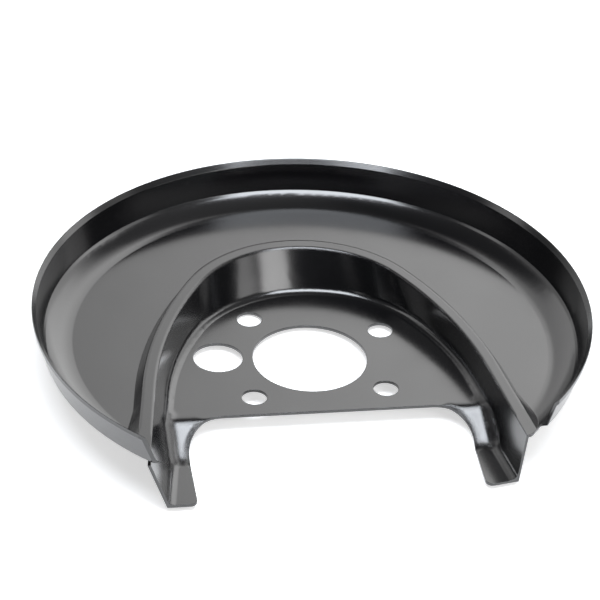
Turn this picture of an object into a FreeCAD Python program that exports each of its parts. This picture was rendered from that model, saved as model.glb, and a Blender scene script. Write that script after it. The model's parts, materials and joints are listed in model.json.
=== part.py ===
import FreeCAD, Part
import Sketcher
import math
import os
import re
from FreeCAD import Vector

# A brake dust shield pressed from one steel sheet.  Origin at the hub bore centre on the
# mounting face, +Z along the wheel axis, the caliper gap towards -Y.

doc = FreeCAD.newDocument("brake_dust_shield")
sheet = doc.addObject("Spreadsheet::Sheet", "sizes")

SIZES = (
    # the sheet
    ("gauge", 1.2), ("wall_gauge", 0.9), ("tool_depth", 30.0), ("clearance", 40.0),
    # disc and rim, revolved about the wheel axis
    ("disc_level", 9.0), ("ramp_start", 103.5), ("ramp_end", 115.0), ("ramp_rise", 3.9),
    ("foot_radius", 116.0), ("foot_rise", 4.8), ("bend_radius", 119.2), ("bend_level", 25.5),
    ("rim_radius", 121.15), ("rim_level", 27.6),
    # arch: the drafted wall round the mounting plate and the ridge above it
    ("arch_shoulder", 33.0), ("arch_spread", 9.0),
    ("low_level", -10.0), ("low_radius", 61.0), ("low_side_radius", 80.0), ("low_centre", -17.5),
    ("low_shift", 3.0),
    ("crest_level", 14.8), ("crest_radius", 52.0), ("crest_side_radius", 187.0), ("crest_centre", 11.5),
    ("crest_tilt", 1.55), ("crest_width", 5.4), ("face_width", 5.0), ("root_depth", 2.0),
    ("blend_start", -45.0), ("blend_spread", 20.0), ("base_fillet", 4.0), ("floor_width", 196.0),
    # mounting plate and the two stepped legs
    ("plate_edge", -41.0), ("leg_step", -58.6), ("leg_level", -10.0), ("step_fillet", 4.0),
    # trimmed outline
    ("front_line", -86.5), ("gap_left", -59.4), ("gap_right", 63.2), ("gap_edge", -39.5),
    ("right_tip", -84.4), ("right_heel_x", 82.0), ("right_heel_y", -81.0),
    ("rim_end_radius", 114.0), ("rim_end_angle", -40.2),
    ("gap_fillet", 16.0), ("tip_fillet", 3.0),
    # holes
    ("hub_bore", 50.0), ("bolt_hole", 11.0), ("bolt_circle", 77.8),
    ("bolt_angle_1", 28.5), ("bolt_angle_2", 125.1), ("bolt_angle_3", 223.8), ("bolt_angle_4", 319.3),
    ("sensor_hole", 21.6), ("sensor_reach", 40.1), ("sensor_angle", 174.6),
)

for row, (alias, value) in enumerate(SIZES, start=1):
    sheet.set("A%d" % row, alias)
    sheet.set("B%d" % row, str(value))
    sheet.setAlias("B%d" % row, alias)
doc.recompute()


def size(text):
    """A size expression: every alias in the text is read from the sheet."""
    known = {alias for alias, value in SIZES}
    return re.sub(r"[a-z]\w*", lambda word: "sizes." * (word[0] in known) + word[0], text)


def number(text):
    """The present value of a size expression."""
    return float(sheet.evalExpression(size(text)))


def plane(body, role):
    """One of the body's own origin planes."""
    return next(item for item in body.Origin.OriginFeatures if item.Role == role)


def new_sketch(body, name, role, height=None, tilt=None):
    """A sketch on an origin plane of its own body, lifted and tilted by size expressions."""
    sketch = body.newObject("Sketcher::SketchObject", name)
    sketch.AttachmentSupport = [(plane(body, role), "")]
    sketch.MapMode = "FlatFace"
    if height:
        sketch.setExpression("AttachmentOffset.Base.z", size(height))
    if tilt:
        turn = FreeCAD.Rotation(Vector(1, 0, 0), number(tilt))
        sketch.AttachmentOffset = FreeCAD.Placement(Vector(), turn)
        sketch.setExpression("AttachmentOffset.Rotation.Angle", size(tilt))
    return sketch


def pin(sketch, geometry, point, across=None, up=None):
    """Hold a sketch point at one or two size expressions."""
    for kind, text in (("DistanceX", across), ("DistanceY", up)):
        if text is not None:
            index = sketch.addConstraint(Sketcher.Constraint(kind, geometry, point, number(text)))
            sketch.setExpression("Constraints[%d]" % index, size(text))


def polygon(sketch, corners, bowed=None):
    """A closed outline whose corners are pairs of size expressions.

    The side numbered bowed is an arc that runs smoothly into the side after it.
    """
    places = [Vector(number(across), number(up), 0) for across, up in corners]
    count = len(places)
    for index, place in enumerate(places):
        after = places[(index + 1) % count]
        side = Part.LineSegment(place, after)
        if index == bowed:
            side = bow(place, after, places[(index + 2) % count] - after)
        sketch.addGeometry(side, False)
    turned = {index for index, place in enumerate(places)
              if (sketch.Geometry[index].StartPoint - place).Length > 0.001}
    for index in range(count):
        after = (index + 1) % count
        kind = "Tangent" if index == bowed else "Coincident"
        leaving = 1 if index in turned else 2
        arriving = 2 if after in turned else 1
        sketch.addConstraint(Sketcher.Constraint(kind, index, leaving, after, arriving))
        pin(sketch, index, 2 if index in turned else 1, *corners[index])


def bow(start, end, heading):
    """The arc between two places that leaves its end along heading."""
    side = Vector(-heading.y, heading.x, 0).normalize()
    chord = start - end
    radius = chord.Length ** 2 / (2 * chord.dot(side))
    centre = end + side * radius
    first, last = start - centre, end - centre
    if first.cross(last).z < 0:
        first, last = last, first
    ring = Part.Circle(centre, Vector(0, 0, 1), abs(radius))
    return Part.ArcOfCircle(ring, math.atan2(first.y, first.x), math.atan2(last.y, last.x))


def circle(sketch, across, up, diameter):
    """A circle held by its centre and its diameter."""
    centre = Vector(number(across), number(up), 0)
    index = sketch.addGeometry(Part.Circle(centre, Vector(0, 0, 1), number(diameter) / 2), False)
    pin(sketch, index, 3, across, up)
    held = sketch.addConstraint(Sketcher.Constraint("Diameter", index, number(diameter)))
    sketch.setExpression("Constraints[%d]" % held, size(diameter))


def horseshoe(sketch, arch, widening="0", shift="0", blend="arch_spread"):
    """A three-centred arch open towards -Y, drawn with its two sides and a straight closing line.

    arch names the sizes that it follows, and widening moves its whole line outwards. The sides
    spread by the blend angle in front of the line where the ridge starts to run out.
    """
    kink = "blend_start"
    front = "( front_line - tool_depth )"
    words = {"a": arch, "w": widening}
    radius = "( %(a)s_radius + %(w)s )" % words
    side_radius = "( %(a)s_side_radius + %(w)s )" % words
    back = "( %(a)s_radius - %(a)s_side_radius )" % words
    top = "%s_centre + %s * sin( arch_shoulder )" % (arch, radius)
    low = "%s_centre + %s * sin( arch_shoulder ) + %s * sin( arch_spread )" % (arch, back, side_radius)
    side = "%s * cos( arch_shoulder ) + %s * cos( arch_spread )" % (back, side_radius)
    knee = "%s + tan( arch_spread ) * ( %s - ( %s ) )" % (side, low, kink)
    toe = "%s + tan( %s ) * ( ( %s ) - %s )" % (knee, blend, kink, front)

    middle = Vector(number(shift), number(arch + "_centre"), 0)
    shoulder = math.radians(number("arch_shoulder"))
    spread = math.radians(number("arch_spread"))
    reach = Vector(math.cos(shoulder), math.sin(shoulder), 0) * number(back)
    up = Vector(0, 0, 1)
    half = math.pi
    sketch.addGeometry(Part.ArcOfCircle(
        Part.Circle(middle, up, number(radius)), shoulder, half - shoulder), False)
    sketch.addGeometry(Part.ArcOfCircle(
        Part.Circle(middle + mirrored(reach), up, number(side_radius)), half - shoulder, half - spread), False)
    sides = (("0 - ( %s )" % side, low), ("0 - ( %s )" % knee, kink), ("0 - ( %s )" % toe, front),
             (toe, front), (knee, kink), (side, low))
    chain = [("%s + %s" % (shift, across), along) for across, along in sides]
    places = [Vector(number(across), number(along), 0) for across, along in chain]
    for first, second in zip(places, places[1:]):
        sketch.addGeometry(Part.LineSegment(first, second), False)
    last = len(chain)
    closing = last + 1
    sketch.addGeometry(Part.ArcOfCircle(
        Part.Circle(middle + reach, up, number(side_radius)), spread, shoulder), False)

    pin(sketch, 0, 3, shift, arch + "_centre")
    hold_radius(sketch, 0, radius)
    pin(sketch, 0, 1, None, top)
    pin(sketch, 0, 2, None, top)
    sketch.addConstraint(Sketcher.Constraint("Tangent", 0, 2, 1, 1))
    hold_radius(sketch, 1, side_radius)
    pin(sketch, 1, 2, None, low)
    sketch.addConstraint(Sketcher.Constraint("Tangent", closing, 2, 0, 1))
    hold_radius(sketch, closing, side_radius)
    pin(sketch, closing, 1, None, low)
    for before in range(1, last + 1):
        sketch.addConstraint(Sketcher.Constraint("Coincident", before, 2, before + 1, 1))
    for index, (across, along) in enumerate(chain[1:-1], start=2):
        pin(sketch, index, 2, across, along)


def hold_radius(sketch, index, radius):
    """Hold an arc's radius at a size expression."""
    held = sketch.addConstraint(Sketcher.Constraint("Radius", index, number(radius)))
    sketch.setExpression("Constraints[%d]" % held, size(radius))


def mirrored(place):
    """The place on the other side of the centre plane."""
    return Vector(-place.x, place.y, place.z)


def edges_where(shape, test):
    """Names of the edges whose sampled points all pass a test."""
    names = []
    for index, edge in enumerate(shape.Edges, start=1):
        places = edge.discretize(7)
        if all(test(place) for place in places):
            names.append("Edge%d" % index)
    return names


def fillet(body, name, radius, test):
    """Round the edges of the body that pass a test, with a radius from the sheet."""
    base = body.Tip
    names = edges_where(base.Shape, test)
    if not names:
        raise RuntimeError("no edge found for " + name)
    rounded = body.newObject("PartDesign::Fillet", name)
    rounded.Base = (base, names)
    rounded.setExpression("Radius", size(radius))
    doc.recompute()
    return rounded


RAMP_SIDE = 5
NEAR = 0.05
EDGE_MARGIN = 1.0


def near(value, target):
    """True where two lengths agree."""
    return abs(value - target) < NEAR


def form(name, drop, shift):
    """One side of the press tool, as a solid below the sheet's face.

    drop lowers every face and shift moves every wall into the metal, so the upper form less
    the lower form leaves the sheet.
    """
    body = doc.addObject("PartDesign::Body", name)

    # disc, ramp, rim wall and lip
    profile = new_sketch(body, name + "_profile", "XZ_Plane")
    ring = (
        ("0", "0 - tool_depth - %s" % drop),
        ("rim_radius + %s" % shift, "0 - tool_depth - %s" % drop),
        ("rim_radius + %s" % shift, "rim_level - %s" % drop),
        ("bend_radius + %s" % shift, "bend_level - %s" % drop),
        ("foot_radius + %s" % shift, "disc_level + foot_rise - %s" % drop),
        ("ramp_end", "disc_level + ramp_rise - %s" % drop),
        ("ramp_start", "disc_level - %s" % drop),
        ("0", "disc_level - %s" % drop),
    )
    polygon(profile, ring, bowed=RAMP_SIDE)
    turned = body.newObject("PartDesign::Revolution", name + "_dish")
    turned.Profile = profile
    turned.ReferenceAxis = (profile, ["V_Axis"])
    turned.Angle = 360.0
    doc.recompute()

    # ridge standing proud of the disc
    foot = new_sketch(body, name + "_ridge_foot", "XY_Plane", "disc_level - root_depth - %s" % drop)
    horseshoe(foot, "crest", "crest_width + face_width - %s" % shift, blend="blend_spread")
    top = new_sketch(body, name + "_ridge_top", "XY_Plane", "crest_level - %s" % drop, "crest_tilt")
    horseshoe(top, "crest", "crest_width - %s" % shift)
    ridge = body.newObject("PartDesign::AdditiveLoft", name + "_ridge")
    ridge.Profile = foot
    ridge.Sections = [top]
    ridge.Ruled = True
    doc.recompute()

    # pocket inside the arch, drafted from the low line to the crest
    low = new_sketch(body, name + "_pocket_low", "XY_Plane", "low_level - %s" % drop)
    horseshoe(low, "low", shift, "low_shift")
    high = new_sketch(body, name + "_pocket_high", "XY_Plane", "crest_level - %s" % drop, "crest_tilt")
    horseshoe(high, "crest", shift)
    pocket = body.newObject("PartDesign::SubtractiveLoft", name + "_pocket")
    pocket.Profile = low
    pocket.Sections = [high]
    pocket.Ruled = True
    doc.recompute()

    # mounting plate and the two leg floors, refilled below their folded line
    folds = new_sketch(body, name + "_folds", "YZ_Plane")
    polygon(folds, (
        ("front_line - tool_depth", "0 - tool_depth - %s" % drop),
        ("crest_centre + crest_radius", "0 - tool_depth - %s" % drop),
        ("crest_centre + crest_radius", "0 - %s" % drop),
        ("plate_edge", "0 - %s" % drop),
        ("leg_step", "leg_level - %s" % drop),
        ("front_line - tool_depth", "leg_level - %s" % drop),
    ))
    floor = body.newObject("PartDesign::Pad", name + "_floor")
    floor.Profile = folds
    floor.Midplane = True
    floor.setExpression("Length", size("floor_width"))
    doc.recompute()

    plate = number("0 - %s" % drop)
    leg = number("leg_level - %s" % drop)

    def on_fold(place):
        """On a fold line across a leg."""
        at_plate = near(place.y, number("plate_edge")) and near(place.z, plate)
        return at_plate or (near(place.y, number("leg_step")) and near(place.z, leg))

    fillet(body, name + "_fold", "step_fillet", on_fold)
    return body


def on_base(place):
    """On the upper form's arch wall foot, round the plate and the legs."""
    in_front = number("front_line - tool_depth") + EDGE_MARGIN
    inside = abs(place.x) < number("floor_width") / 2 - EDGE_MARGIN
    beside = place.y > 0 or abs(place.x) > number("hub_bore") / 2
    level = number("leg_level") - NEAR < place.z < NEAR
    return level and place.y > in_front and inside and beside


upper = form("upper_form", "0", "0")
fillet(upper, "upper_form_base", "base_fillet", on_base)
lower = form("lower_form", "gauge", "wall_gauge")

# plan of the sheet: the full round, less the caliper gap, the trimmed ends and the holes
plan = doc.addObject("PartDesign::Body", "plan")
round_sketch = new_sketch(plan, "plan_round", "XY_Plane")
circle(round_sketch, "0", "0", "rim_radius * 2")
round_pad = plan.newObject("PartDesign::Pad", "plan_pad")
round_pad.Profile = round_sketch
round_pad.Midplane = True
round_pad.setExpression("Length", size("clearance * 2"))
doc.recompute()

reach = "( rim_radius * 2 )"
gap_corners = (
    ("0 - " + reach, "front_line"),
    ("gap_left", "front_line"),
    ("gap_left", "gap_edge"),
    ("gap_right", "gap_edge"),
    ("gap_right", "right_tip"),
    ("right_heel_x", "right_heel_y"),
    ("rim_end_radius * cos( rim_end_angle )", "rim_end_radius * sin( rim_end_angle )"),
    (reach + " * cos( rim_end_angle )", reach + " * sin( rim_end_angle )"),
    (reach + " * cos( rim_end_angle )", "0 - " + reach),
    ("0 - " + reach, "0 - " + reach),
)


def pocket_through(name, draw):
    """Cut a drawn outline through the whole plan, and check that it removes metal."""
    before = plan.Tip.Shape.Volume
    sketch = new_sketch(plan, name + "_sketch", "XY_Plane")
    draw(sketch)
    cut = plan.newObject("PartDesign::Pocket", name)
    cut.Profile = sketch
    cut.Type = "ThroughAll"
    cut.Midplane = True
    doc.recompute()
    if plan.Tip.Shape.Volume >= before:
        raise RuntimeError(name + " removes nothing")
    return cut


pocket_through("caliper_gap", lambda sketch: polygon(sketch, gap_corners))


def upright_at(across, up):
    """A test for the upright edges at one corner of the plan."""
    corner = Vector(number(across), number(up), 0)
    return lambda place: math.hypot(place.x - corner.x, place.y - corner.y) < 0.01


for name, radius, corner in (
    ("gap_corner_left", "gap_fillet", gap_corners[2]),
    ("gap_corner_right", "gap_fillet", gap_corners[3]),
    ("tip_corner_left", "tip_fillet", gap_corners[1]),
    ("tip_corner_right", "tip_fillet", gap_corners[4]),
    ("heel_corner", "tip_fillet", gap_corners[5]),
):
    fillet(plan, name, radius, upright_at(*corner))


def draw_bolt_holes(sketch):
    """Four clearance holes on the bolt circle."""
    for turn in ("bolt_angle_1", "bolt_angle_2", "bolt_angle_3", "bolt_angle_4"):
        across = "bolt_circle / 2 * cos( %s )" % turn
        circle(sketch, across, "bolt_circle / 2 * sin( %s )" % turn, "bolt_hole")


def draw_sensor_hole(sketch):
    """The clearance hole for the wheel speed sensor."""
    across = "sensor_reach * cos( sensor_angle )"
    circle(sketch, across, "sensor_reach * sin( sensor_angle )", "sensor_hole")


pocket_through("hub_bore", lambda sketch: circle(sketch, "0", "0", "hub_bore"))
pocket_through("bolt_holes", draw_bolt_holes)
pocket_through("sensor_hole", draw_sensor_hole)

shield = doc.addObject("Part::Feature", "shield")
shield.Label = "shield"
shield.Shape = upper.Tip.Shape.common(plan.Tip.Shape).cut(lower.Tip.Shape)
doc.recompute()

for item in doc.Objects:
    if {"Invalid", "Error"} & set(item.State):
        raise RuntimeError(item.Name + " did not build")
if shield.Shape.isNull() or not shield.Shape.isValid():
    raise RuntimeError("the shield has no valid shape")

os.makedirs("parts", exist_ok=True)
shield.Shape.exportStep("parts/shield.step")
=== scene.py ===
"""Brake dust shield, pressed from one steel sheet and coated black: its finish, floor, light and camera."""

import json
import logging
import math
from dataclasses import dataclass, field
from enum import Enum

import bmesh
import bpy
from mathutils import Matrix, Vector

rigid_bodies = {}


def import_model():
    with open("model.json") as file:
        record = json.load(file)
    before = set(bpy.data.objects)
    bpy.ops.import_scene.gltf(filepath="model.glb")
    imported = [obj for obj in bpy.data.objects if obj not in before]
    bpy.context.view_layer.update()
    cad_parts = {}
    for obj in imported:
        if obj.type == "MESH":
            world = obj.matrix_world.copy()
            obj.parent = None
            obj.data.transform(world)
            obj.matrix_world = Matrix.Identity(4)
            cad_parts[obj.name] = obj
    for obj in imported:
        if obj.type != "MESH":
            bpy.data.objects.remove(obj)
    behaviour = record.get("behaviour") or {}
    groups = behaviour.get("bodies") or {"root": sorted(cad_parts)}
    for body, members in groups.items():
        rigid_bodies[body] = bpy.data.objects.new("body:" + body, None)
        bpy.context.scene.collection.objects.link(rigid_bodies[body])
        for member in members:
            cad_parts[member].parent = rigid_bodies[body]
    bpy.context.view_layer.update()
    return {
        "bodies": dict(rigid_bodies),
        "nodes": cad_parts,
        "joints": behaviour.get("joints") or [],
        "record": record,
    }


LOG = logging.getLogger("dust_shield")

Colour = tuple[float, float, float]
Shades = tuple[tuple[float, float], ...]
Socket = bpy.types.NodeSocket


class Arithmetic(Enum):
    """The pieces of arithmetic that the shades and masks need."""

    ADD = "ADD"
    SUBTRACT = "SUBTRACT"
    MULTIPLY = "MULTIPLY"
    MAXIMUM = "MAXIMUM"
    POWER = "POWER"
    ROOT = "SQRT"
    SIZE = "ABSOLUTE"
    ANGLE = "ARCTAN2"


class Easing(Enum):
    """How a value runs from one end of a span to the other."""

    STRAIGHT = "LINEAR"
    SOFT = "SMOOTHSTEP"


class NodeDesk:
    """Short calls for the shader nodes of one material or world."""

    def __init__(self, owner: bpy.types.Material | bpy.types.World) -> None:
        """Clears the owner's nodes."""
        owner.use_nodes = True
        self.nodes = owner.node_tree.nodes
        self.links = owner.node_tree.links
        self.nodes.clear()

    def join(self, source: Socket | float, target: Socket) -> None:
        """Links a socket to another, or sets a plain number on it."""
        if isinstance(source, Socket):
            self.links.new(source, target)
        else:
            target.default_value = source

    def sum(self, kind: Arithmetic, first: Socket | float, second: Socket | float = 0.0) -> Socket:
        """Does one piece of arithmetic.

        Args:
            kind: What is done with the values.
            first: The first value.
            second: The second value, where the arithmetic takes two.

        Returns:
            The socket that carries the result.
        """
        node = self.nodes.new("ShaderNodeMath")
        node.operation = kind.value
        self.join(first, node.inputs[0])
        self.join(second, node.inputs[1])
        return node.outputs["Value"]

    def dot(self, first: Socket, second: Socket | Vector) -> Socket:
        """Measures how far one direction points along another.

        Args:
            first: The one direction.
            second: The other one.

        Returns:
            The socket that carries the measure.
        """
        node = self.nodes.new("ShaderNodeVectorMath")
        node.operation = "DOT_PRODUCT"
        self.join(first, node.inputs[0])
        self.join(second, node.inputs[1])
        return node.outputs["Value"]

    def span(self, value: Socket, start: float, end: float, high: float = 1.0,
             easing: Easing = Easing.SOFT, low: float = 0.0) -> Socket:
        """Runs from low to high while a value runs from start to end.

        Args:
            value: The value that is followed.
            start: Where low ends.
            end: Where high begins.
            high: The result at the end.
            easing: How the result runs between them.
            low: The result at the start.

        Returns:
            The socket that carries the result.
        """
        node = self.nodes.new("ShaderNodeMapRange")
        node.interpolation_type = easing.value
        self.join(value, node.inputs["Value"])
        for name, number in (("From Min", start), ("From Max", end), ("To Min", low), ("To Max", high)):
            node.inputs[name].default_value = number
        return node.outputs["Result"]

    def shade_row(self, value: Socket, shades: Shades, first: float, last: float) -> Socket:
        """Runs through a row of shades.

        Args:
            value: The place in the row, from 0 to 1.
            shades: Each place with its shade, between first and last.
            first: The place that 0 stands for.
            last: The place that 1 stands for.

        Returns:
            The socket that carries the shade.
        """
        row = self.nodes.new("ShaderNodeFloatCurve")
        curve = row.mapping.curves[0]
        top = max(shade for _, shade in shades)
        while len(curve.points) < len(shades):
            curve.points.new(0.5, 0.5)
        for point, (place, shade) in zip(curve.points, shades):
            point.location = ((place - first) / (last - first), shade / top)
            point.handle_type = "VECTOR"
        row.mapping.update()
        self.join(value, row.inputs["Value"])
        return self.sum(Arithmetic.MULTIPLY, row.outputs["Value"], top)

    def noise(self, place: Socket, scale: float, detail: float) -> Socket:
        """Makes a cloudy pattern.

        Args:
            place: The place on the piece.
            scale: How many clouds lie along a metre.
            detail: How finely they are broken up.

        Returns:
            The socket that carries the pattern, from 0 to 1.
        """
        node = self.nodes.new("ShaderNodeTexNoise")
        node.inputs["Scale"].default_value = scale
        node.inputs["Detail"].default_value = detail
        self.join(place, node.inputs["Vector"])
        return node.outputs["Fac"]

    def blend(self, share: Socket, first: Colour, second: Colour) -> Socket:
        """Blends two colours.

        Args:
            share: How much of the second colour there is.
            first: The colour at 0.
            second: The colour at 1.

        Returns:
            The socket that carries the colour.
        """
        node = self.nodes.new("ShaderNodeMix")
        node.data_type = "RGBA"
        self.join(share, node.inputs["Factor"])
        node.inputs[6].default_value = (*first, 1.0)
        node.inputs[7].default_value = (*second, 1.0)
        return node.outputs[2]

    def bump(self, height: Socket, depth: float, normal: Socket) -> Socket:
        """Raises the surface.

        Args:
            height: How high each place stands, from 0 to 1.
            depth: The height that 1 stands for, in metres.
            normal: Which way the surface faces before it.

        Returns:
            The socket that carries which way the surface faces.
        """
        node = self.nodes.new("ShaderNodeBump")
        node.inputs["Strength"].default_value = 1.0
        node.inputs["Distance"].default_value = depth
        self.join(height, node.inputs["Height"])
        self.join(normal, node.inputs["Normal"])
        return node.outputs["Normal"]

    def seen_directly(self) -> Socket:
        """Tells what the camera, mirror images and glass show from the light that is only gathered.

        Returns:
            The socket that is 1 where the ray sees and 0 where it gathers light.
        """
        path = self.nodes.new("ShaderNodeLightPath")
        view = self.sum(Arithmetic.MAXIMUM, path.outputs["Is Camera Ray"], path.outputs["Is Glossy Ray"])
        return self.sum(Arithmetic.MAXIMUM, view, path.outputs["Is Transmission Ray"])

    def mix_shaders(self, share: Socket, first: Socket | None, second: Socket) -> Socket:
        """Mixes two shaders.

        Args:
            share: How much of the second shader there is.
            first: The shader at 0, or none.
            second: The shader at 1.

        Returns:
            The socket that carries the mixed shader.
        """
        node = self.nodes.new("ShaderNodeMixShader")
        self.join(share, node.inputs["Fac"])
        if first is not None:
            self.join(first, node.inputs[1])
        self.join(second, node.inputs[2])
        return node.outputs["Shader"]


@dataclass(frozen=True)
class Heading:
    """Which way the studio is turned about the upright."""

    turn_deg: float = 10.0

    def behind(self) -> Vector:
        """The level direction from the shield to the back of the studio."""
        turn = math.radians(self.turn_deg)
        return Vector((math.sin(turn), math.cos(turn), 0.0))

    def right(self) -> Vector:
        """The level direction from the shield to the studio's right."""
        turn = math.radians(self.turn_deg)
        return Vector((math.cos(turn), -math.sin(turn), 0.0))


@dataclass(frozen=True)
class Softbox:
    """A soft lamp that faces the shield from one direction.

    height_deg runs from the horizon behind the shield, over its top, to the viewer's horizon, and
    side_deg is positive to the viewer's right.
    """

    name: str
    height_deg: float
    side_deg: float
    distance: float
    width: float
    length: float
    strength: float
    tint: Colour = (1.0, 1.0, 1.0)

    def place(self, heading: Heading) -> Vector:
        """Finds where the lamp hangs.

        Args:
            heading: Which way the studio is turned.

        Returns:
            The place, in metres.
        """
        height, side = math.radians(self.height_deg), math.radians(self.side_deg)
        up = Vector((0.0, 0.0, 1.0))
        across = heading.behind() * math.cos(height) + up * math.sin(height)
        return (across * math.cos(side) + heading.right() * math.sin(side)) * self.distance

    def build(self, heading: Heading) -> bpy.types.Object:
        """Makes the lamp.

        Args:
            heading: Which way the studio is turned.

        Returns:
            The lamp.
        """
        light = bpy.data.lights.new(self.name, "AREA")
        light.shape = "RECTANGLE"
        light.size, light.size_y = self.width, self.length
        light.color = self.tint
        light.energy = self.strength * math.pi * self.width * self.length
        lamp = bpy.data.objects.new(self.name, light)
        lamp.location = self.place(heading)
        lamp.rotation_euler = lamp.location.to_track_quat("Z", "Y").to_euler()
        bpy.context.collection.objects.link(lamp)
        return lamp


SOFTBOXES = (
    Softbox("overhead_box", 106.5, 2.0, 1.2, 1.0, 0.50, 10.0, (0.90, 0.94, 1.0)),
    Softbox("sweep_box", 31.0, -4.0, 1.6, 2.2, 0.75, 0.7),
    Softbox("left_box", 84.0, -52.0, 1.3, 0.26, 0.9, 1.1),
    Softbox("right_box", 44.0, 53.0, 1.3, 0.32, 1.1, 1.3),
    Softbox("front_right_box", 136.0, 31.0, 1.2, 0.44, 0.40, 4.5),
    Softbox("front_far_box", 134.0, 53.0, 1.2, 0.42, 0.34, 1.8),
    Softbox("front_left_box", 140.0, -30.0, 1.2, 0.12, 0.16, 1.6),
)


@dataclass(frozen=True)
class Floor:
    """The pale floor, which tilts because the shield stands on its legs and the back of its plate."""

    name: str = "floor"
    finish: str = "floor_paper"
    under_legs: Vector = field(default_factory=lambda: Vector((0.0, -0.0600, -0.0113)))
    tilt_deg: float = 5.2
    size: float = 8.0
    white: Colour = (0.93, 0.93, 0.93)
    glow: float = 0.55

    def build(self) -> bpy.types.Object:
        """Makes the floor.

        Returns:
            The floor.
        """
        mesh = bpy.data.meshes.new(self.name)
        half = self.size / 2
        tilt = math.radians(self.tilt_deg)
        sheet = bmesh.new()
        corners = []
        for across, along in ((-half, -half), (half, -half), (half, half), (-half, half)):
            place = Vector((across, along * math.cos(tilt), along * math.sin(tilt)))
            corners.append(sheet.verts.new(self.under_legs + place))
        sheet.faces.new(corners)
        sheet.to_mesh(mesh)
        sheet.free()
        mesh.materials.append(self.paper())
        floor = bpy.data.objects.new(self.name, mesh)
        bpy.context.collection.objects.link(floor)
        return floor

    def paper(self) -> bpy.types.Material:
        """Makes the floor's finish, which looks whiter than it lights the shield.

        Returns:
            The material.
        """
        material = bpy.data.materials.new(self.finish)
        desk = NodeDesk(material)
        output = desk.nodes.new("ShaderNodeOutputMaterial")
        paper = desk.nodes.new("ShaderNodeBsdfDiffuse")
        paper.inputs["Color"].default_value = (*self.white, 1.0)
        glow = desk.nodes.new("ShaderNodeEmission")
        glow.inputs["Strength"].default_value = self.glow
        shown = desk.mix_shaders(desk.seen_directly(), None, glow.outputs["Emission"])
        both = desk.nodes.new("ShaderNodeAddShader")
        desk.join(paper.outputs["BSDF"], both.inputs[0])
        desk.join(shown, both.inputs[1])
        desk.join(both.outputs["Shader"], output.inputs["Surface"])
        return material


@dataclass(frozen=True)
class Room:
    """The room: a white sweep behind the shield that darkens overhead and behind the viewer."""

    name: str = "studio"
    # what the shield gathers from the room as plain light
    light: float = 0.20
    # shade by height in degrees, from the horizon behind the shield to the viewer's horizon
    shades: Shades = (
        (0.0, 1.0), (45.0, 1.0), (54.0, 0.10), (90.0, 0.12), (124.0, 0.10), (130.0, 0.01),
    )
    # shade from the far left to the far right, by the sine of the angle
    side_shades: Shades = (
        (-1.0, 0.03), (-0.86, 0.06), (-0.76, 0.8), (-0.09, 0.42), (0.03, 1.6), (0.20, 2.0),
        (0.76, 1.6), (0.88, 0.1), (1.0, 0.03),
    )
    # pale walls at both sides, which start softly at one sine and stand full at the other
    side_wall: float = 0.8
    wall_start: float = 0.55
    wall_full: float = 0.72
    # the walls end just past the zenith
    wall_fade_deg: float = 88.0
    wall_end_deg: float = 95.0

    def build(self, heading: Heading) -> bpy.types.World:
        """Makes the room.

        Args:
            heading: Which way the studio is turned.

        Returns:
            The world that stands for the room.
        """
        world = bpy.data.worlds.new(self.name)
        bpy.context.scene.world = world
        desk = NodeDesk(world)
        output = desk.nodes.new("ShaderNodeOutputWorld")
        seen = desk.nodes.new("ShaderNodeBackground")
        seen.inputs["Strength"].default_value = 1.0
        desk.join(self.shade(desk, heading), seen.inputs["Color"])
        felt = desk.nodes.new("ShaderNodeBackground")
        felt.inputs["Color"].default_value = (1.0, 1.0, 1.0, 1.0)
        felt.inputs["Strength"].default_value = self.light
        both = desk.mix_shaders(
            desk.seen_directly(), felt.outputs["Background"], seen.outputs["Background"])
        desk.join(both, output.inputs["Surface"])
        return world

    def shade(self, desk: NodeDesk, heading: Heading) -> Socket:
        """Lays the shades over the room.

        Args:
            desk: The world's nodes.
            heading: Which way the studio is turned.

        Returns:
            The socket that carries the shade.
        """
        look = desk.nodes.new("ShaderNodeTexCoord").outputs["Generated"]
        parts = desk.nodes.new("ShaderNodeSeparateXYZ")
        desk.join(look, parts.inputs["Vector"])
        angle = desk.sum(Arithmetic.ANGLE, parts.outputs["Z"], desk.dot(look, heading.behind()))
        height = desk.span(desk.sum(Arithmetic.SIZE, angle), 0.0, math.pi, easing=Easing.STRAIGHT)
        by_height = desk.shade_row(height, self.shades, 0.0, 180.0)

        aside = desk.dot(look, heading.right())
        across = desk.span(aside, -1.0, 1.0, easing=Easing.STRAIGHT)
        by_side = desk.shade_row(across, self.side_shades, -1.0, 1.0)

        far = desk.sum(Arithmetic.SIZE, aside)
        walls = desk.span(far, self.wall_start, self.wall_full, self.side_wall)
        ahead = desk.span(
            height, self.wall_end_deg / 180.0, self.wall_fade_deg / 180.0, easing=Easing.STRAIGHT)
        walls = desk.sum(Arithmetic.MULTIPLY, walls, ahead)
        lit = desk.sum(Arithmetic.MAXIMUM, by_height, walls)
        return desk.sum(Arithmetic.MULTIPLY, lit, by_side)


@dataclass(frozen=True)
class Studio:
    """The floor, the room and the lamps."""

    heading: Heading = field(default_factory=Heading)
    floor: Floor = field(default_factory=Floor)
    room: Room = field(default_factory=Room)
    lamps: tuple[Softbox, ...] = SOFTBOXES

    def build(self) -> None:
        """Makes the floor, the room and the lamps."""
        self.floor.build()
        LOG.info("floor laid")
        self.room.build(self.heading)
        LOG.info("room shaded")
        for lamp in self.lamps:
            lamp.build(self.heading)
            LOG.info("%s hung", lamp.name)


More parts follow.
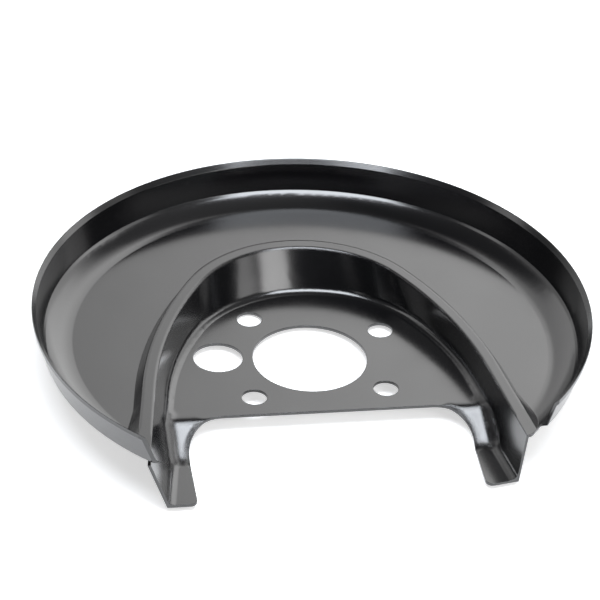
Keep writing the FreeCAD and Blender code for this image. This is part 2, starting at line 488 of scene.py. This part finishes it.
@dataclass(frozen=True)
class Viewpoint:
    """The photograph's viewing angle."""

    place: Vector = field(default_factory=lambda: Vector((-0.21693, -1.19828, 0.85038)))
    aim: Vector = field(default_factory=lambda: Vector((0.00233, 0.0452, 0.0)))
    roll_deg: float = 2.897
    lens: float = 204.06
    sensor: float = 36.0

    def build(self) -> bpy.types.Object:
        """Makes the camera and sets it as the scene's.

        Returns:
            The camera.
        """
        data = bpy.data.cameras.new("viewpoint")
        data.lens = self.lens
        data.sensor_width = self.sensor
        camera = bpy.data.objects.new("viewpoint", data)
        camera.location = self.place
        camera.rotation_euler = (self.aim - self.place).to_track_quat("-Z", "Y").to_euler()
        camera.rotation_euler.rotate_axis("Z", math.radians(self.roll_deg))
        bpy.context.collection.objects.link(camera)
        bpy.context.scene.camera = camera
        return camera


@dataclass(frozen=True)
class Rounding:
    """How round the folds of the sheet look, by where they lie. All sizes are in metres."""

    samples: int = 12
    # every fold and cut edge
    edge_radius: float = 0.0004
    # the crest of the arched ridge, above one level and inside one radius
    ridge_radius: float = 0.0016
    ridge_level: float = 0.0138
    ridge_reach: float = 0.104
    ridge_blend: float = 0.002
    # the back of the plate, where it runs into the wall
    foot_radius: float = 0.0014
    foot_line: float = 0.041
    foot_blend: float = 0.002
    foot_level: float = 0.002
    foot_top: float = 0.004
    # the folds where the legs step down
    fold_radius: float = 0.0045
    fold_line: float = -0.047
    fold_reach: float = 0.010
    fold_end: float = 0.016
    fold_aside: float = 0.050
    fold_full: float = 0.056
    fold_level: float = 0.0005
    fold_top: float = 0.002

    def build(self, desk: NodeDesk, place: Socket) -> Socket:
        """Rounds the folds.

        Args:
            desk: The material's nodes.
            place: The place on the sheet.

        Returns:
            The socket that carries which way the rounded surface faces.
        """
        node = desk.nodes.new("ShaderNodeBevel")
        node.samples = self.samples
        desk.join(self.radius(desk, place), node.inputs["Radius"])
        return node.outputs["Normal"]

    def radius(self, desk: NodeDesk, place: Socket) -> Socket:
        """Finds how round the folds are at each place.

        Args:
            desk: The material's nodes.
            place: The place on the sheet.

        Returns:
            The socket that carries the radius in metres.
        """
        split = desk.nodes.new("ShaderNodeSeparateXYZ")
        desk.join(place, split.inputs["Vector"])
        across, along, level = split.outputs
        total = self.edge_radius
        for mask, radius in (
                (self.on_ridge(desk, across, along, level), self.ridge_radius),
                (self.on_foot(desk, along, level), self.foot_radius),
                (self.on_leg_fold(desk, across, along, level), self.fold_radius)):
            total = desk.sum(Arithmetic.ADD, desk.sum(Arithmetic.MULTIPLY, mask, radius), total)
        return total

    def on_ridge(self, desk: NodeDesk, across: Socket, along: Socket, level: Socket) -> Socket:
        """Finds the crest of the ridge.

        Args:
            desk: The material's nodes.
            across: How far right the place is.
            along: How far back it is.
            level: How high it is.

        Returns:
            The socket that is 1 on the crest.
        """
        squares = [desk.sum(Arithmetic.POWER, side, 2.0) for side in (across, along)]
        reach = desk.sum(Arithmetic.ROOT, desk.sum(Arithmetic.ADD, *squares))
        inside = desk.span(reach, self.ridge_reach, self.ridge_reach - self.ridge_blend)
        above = desk.span(level, self.ridge_level - self.ridge_blend, self.ridge_level)
        return desk.sum(Arithmetic.MULTIPLY, inside, above)

    def on_foot(self, desk: NodeDesk, along: Socket, level: Socket) -> Socket:
        """Finds the back of the plate.

        Args:
            desk: The material's nodes.
            along: How far back the place is.
            level: How high it is.

        Returns:
            The socket that is 1 at the foot of the wall.
        """
        back = desk.span(along, self.foot_line - self.foot_blend, self.foot_line + self.foot_blend)
        low = desk.span(level, self.foot_top, self.foot_level)
        return desk.sum(Arithmetic.MULTIPLY, back, low)

    def on_leg_fold(self, desk: NodeDesk, across: Socket, along: Socket, level: Socket) -> Socket:
        """Finds the folds of the legs.

        Args:
            desk: The material's nodes.
            across: How far right the place is.
            along: How far back it is.
            level: How high it is.

        Returns:
            The socket that is 1 at the folds.
        """
        aside = desk.span(desk.sum(Arithmetic.SIZE, across), self.fold_aside, self.fold_full)
        away = desk.sum(Arithmetic.SIZE, desk.sum(Arithmetic.SUBTRACT, along, self.fold_line))
        near = desk.span(away, self.fold_end, self.fold_reach)
        low = desk.span(level, self.fold_top, self.fold_level)
        return desk.sum(Arithmetic.MULTIPLY, desk.sum(Arithmetic.MULTIPLY, aside, near), low)


@dataclass(frozen=True)
class BlackCoat:
    """Black dip coat on pressed steel, with a few grains of dust in it and a painted highlight along its
    edges and folds.
    """

    name: str = "black_coat"
    black: Colour = (0.004, 0.004, 0.0045)
    # pale colour for the real dust grains and for the painted highlight along edges and folds
    dust_and_highlight: Colour = (0.16, 0.16, 0.165)
    index: float = 1.8
    rounding: Rounding = field(default_factory=Rounding)
    # gloss, which clouds a little from place to place
    roughness: float = 0.15
    roughness_spread: float = 0.05
    cloud_scale: float = 18.0
    # waves of the pressed sheet and the fine peel of the coat, with their depths in metres
    wave_scale: float = 28.0
    wave_depth: float = 0.00012
    peel_scale: float = 420.0
    peel_depth: float = 0.000004
    # grains of dust: cells to a metre, the share of cells that hold one, size and height
    grain_scale: float = 160.0
    grain_share: float = 0.04
    grain_size: float = 0.045
    grain_height: float = 0.00002
    grain_paleness: float = 0.5
    # painted highlight along edges and folds, in patches: how far the surface has turned, and how pale the
    # painted highlight is
    highlight_start: float = 0.93
    highlight_full: float = 0.80
    highlight_scale: float = 120.0
    highlight_paleness: float = 0.6

    def build(self) -> bpy.types.Material:
        """Makes the coat.

        Returns:
            The material.
        """
        material = bpy.data.materials.new(self.name)
        desk = NodeDesk(material)
        output = desk.nodes.new("ShaderNodeOutputMaterial")
        coat = desk.nodes.new("ShaderNodeBsdfPrincipled")
        coat.inputs["IOR"].default_value = self.index
        desk.join(coat.outputs["BSDF"], output.inputs["Surface"])
        place = desk.nodes.new("ShaderNodeTexCoord").outputs["Object"]

        cloud = desk.noise(place, self.cloud_scale, 3.0)
        dullest = self.roughness + self.roughness_spread
        desk.join(desk.span(cloud, 0.35, 0.7, dullest, low=self.roughness), coat.inputs["Roughness"])

        rounded = self.rounding.build(desk, place)
        grains = self.grains(desk, place)
        waves = desk.bump(desk.noise(place, self.wave_scale, 1.0), self.wave_depth, rounded)
        peel = desk.bump(desk.noise(place, self.peel_scale, 2.0), self.peel_depth, waves)
        desk.join(desk.bump(grains, self.grain_height, peel), coat.inputs["Normal"])

        # the black pales with real dust on the grains and with a painted highlight along edges and folds
        dusty = desk.sum(Arithmetic.MULTIPLY, grains, self.grain_paleness)
        dust_and_highlight_share = desk.sum(Arithmetic.MAXIMUM, dusty, self.painted_edge_highlight(desk, place, rounded))
        desk.join(desk.blend(dust_and_highlight_share, self.black, self.dust_and_highlight), coat.inputs["Base Color"])
        return material

    def grains(self, desk: NodeDesk, place: Socket) -> Socket:
        """Scatters the few grains of dust that the dip coat has caught.

        Args:
            desk: The material's nodes.
            place: The place on the sheet.

        Returns:
            The socket that is 1 on a grain.
        """
        cells = desk.nodes.new("ShaderNodeTexVoronoi")
        cells.inputs["Scale"].default_value = self.grain_scale
        desk.join(place, cells.inputs["Vector"])
        pick = desk.nodes.new("ShaderNodeSeparateColor")
        desk.join(cells.outputs["Color"], pick.inputs["Color"])
        line = 1.0 - self.grain_share
        chosen = desk.span(pick.outputs["Red"], line - 0.005, line + 0.005)
        on_grain = desk.span(cells.outputs["Distance"], self.grain_size + 0.01, self.grain_size - 0.01)
        return desk.sum(Arithmetic.MULTIPLY, chosen, on_grain)

    def painted_edge_highlight(self, desk: NodeDesk, place: Socket, rounded: Socket) -> Socket:
        """Paints a highlight on the sharp edges and folds, in patches.

        Args:
            desk: The material's nodes.
            place: The place on the sheet.
            rounded: Which way the rounded surface faces.

        Returns:
            The socket that is 1 where the painted highlight is palest.
        """
        flat = desk.nodes.new("ShaderNodeNewGeometry")
        edge = desk.span(desk.dot(rounded, flat.outputs["Normal"]), self.highlight_start, self.highlight_full)
        patchy = desk.span(desk.noise(place, self.highlight_scale, 4.0), 0.50, 0.68)
        highlighted = desk.sum(Arithmetic.MULTIPLY, patchy, self.highlight_paleness)
        return desk.sum(Arithmetic.MULTIPLY, edge, highlighted)


@dataclass(frozen=True)
class Shield:
    """The pressed sheet, which is the whole object."""

    node: str = "shield"
    coat: BlackCoat = field(default_factory=BlackCoat)

    def dress(self, frame: dict) -> bpy.types.Object:
        """Coats the sheet.

        Args:
            frame: The loaded frame.

        Returns:
            The sheet.
        """
        sheet = frame["nodes"][self.node]
        material = self.coat.build()
        for slot in sheet.material_slots:
            slot.material = material
        return sheet


def main() -> None:
    """Dresses the shield and sets up its picture."""
    logging.basicConfig(level=logging.INFO)
    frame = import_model()
    sheet = Shield().dress(frame)
    LOG.info("%s coated", sheet.name)
    bpy.context.scene.view_settings.view_transform = "Standard"
    Studio().build()
    Viewpoint().build()
    LOG.info("camera set")


if __name__ == "__main__":
    main()
